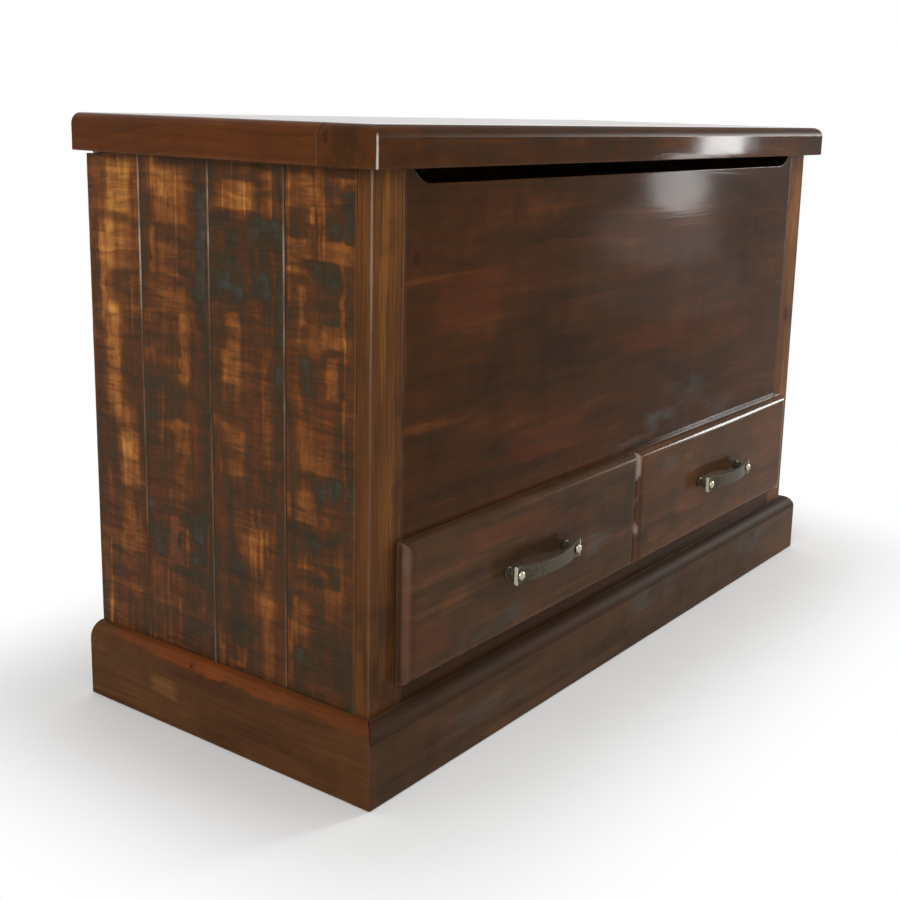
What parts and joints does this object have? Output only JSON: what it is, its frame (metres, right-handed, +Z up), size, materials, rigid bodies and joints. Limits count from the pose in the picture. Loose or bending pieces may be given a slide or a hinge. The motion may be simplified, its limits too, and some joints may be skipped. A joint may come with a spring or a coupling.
{
  "type": "mule chest",
  "caption": "Stained pine blanket chest with a hinged lid over drawers side by side, V-jointed board sides, a rounded plinth and strap handles.",
  "frame": {"origin": "middle of the outer box on the floor", "axes": "+X along the length with the chest's left end at -X as seen from the front, +Y from the front to the back, +Z up"},
  "size_m": [1.086, 0.4848, 0.7],
  "materials": {
    "sawn_pine": "rough sawn boards, dark stain worn through to orange, satin varnish",
    "dressed_pine": "planed pine, red-brown stain, gloss varnish",
    "inside_pine": "plain pine, thin stain, no gloss",
    "bronze": "dark green-grey bronze patina",
    "brass": "pale worn brass"
  },
  "bodies": {
    "carcass": {"left_side_board_1": "sawn_pine", "left_side_board_2": "sawn_pine", "left_side_board_3": "sawn_pine", "left_side_board_4": "sawn_pine", "right_side_board_1": "sawn_pine", "right_side_board_2": "sawn_pine", "right_side_board_3": "sawn_pine", "right_side_board_4": "sawn_pine", "back_board_1": "sawn_pine", "back_board_2": "sawn_pine", "back_board_3": "sawn_pine", "back_board_4": "sawn_pine", "back_board_5": "sawn_pine", "back_board_6": "sawn_pine", "back_board_7": "sawn_pine", "back_board_8": "sawn_pine", "back_board_9": "sawn_pine", "front_stile_left": "dressed_pine", "front_stile_right": "dressed_pine", "front_panel": "dressed_pine", "bottom_rail": "dressed_pine", "drawer_divider": "inside_pine", "compartment_floor": "inside_pine", "back_top_rail": "inside_pine", "back_foot_rail": "inside_pine", "top_cleat_left": "inside_pine", "top_cleat_right": "inside_pine", "floor_cleat_left": "inside_pine", "floor_cleat_right": "inside_pine", "drawer_runner_left": "inside_pine", "drawer_runner_centre": "inside_pine", "drawer_runner_right": "inside_pine", "plinth_front": "dressed_pine", "plinth_left": "dressed_pine", "plinth_right": "dressed_pine", "hinge_carcass_leaf": "brass", "hinge_pin": "brass"},
    "lid": {"lid_front_rail": "dressed_pine", "lid_left_rail": "dressed_pine", "lid_right_rail": "dressed_pine", "lid_back_rail": "dressed_pine", "lid_panel": "dressed_pine", "hinge_lid_leaf": "brass"},
    "drawer_left": {"drawer_front_left": "dressed_pine", "drawer_side_left_1": "inside_pine", "drawer_side_left_2": "inside_pine", "drawer_back_left": "inside_pine", "drawer_bottom_left": "inside_pine", "handle_strap_left": "bronze", "handle_pillar_left_1": "brass", "handle_pillar_left_2": "brass"},
    "drawer_right": {"drawer_front_right": "dressed_pine", "drawer_side_right_1": "inside_pine", "drawer_side_right_2": "inside_pine", "drawer_back_right": "inside_pine", "drawer_bottom_right": "inside_pine", "handle_strap_right": "bronze", "handle_pillar_right_1": "brass", "handle_pillar_right_2": "brass"}
  },
  "joints": [
    {"name": "lid_hinge", "type": "hinge", "parent": "carcass", "child": "lid", "pos_m": [0, 0.23985, 0.6562], "axis": [-1, 0, 0], "range_deg": [0, 95]},
    {"name": "drawer_left_slide", "type": "slide", "parent": "carcass", "child": "drawer_left", "axis": [0, -1, 0], "range_m": [0, 0.3]},
    {"name": "drawer_right_slide", "type": "slide", "parent": "carcass", "child": "drawer_right", "axis": [0, -1, 0], "range_m": [0, 0.3]}
  ]
}
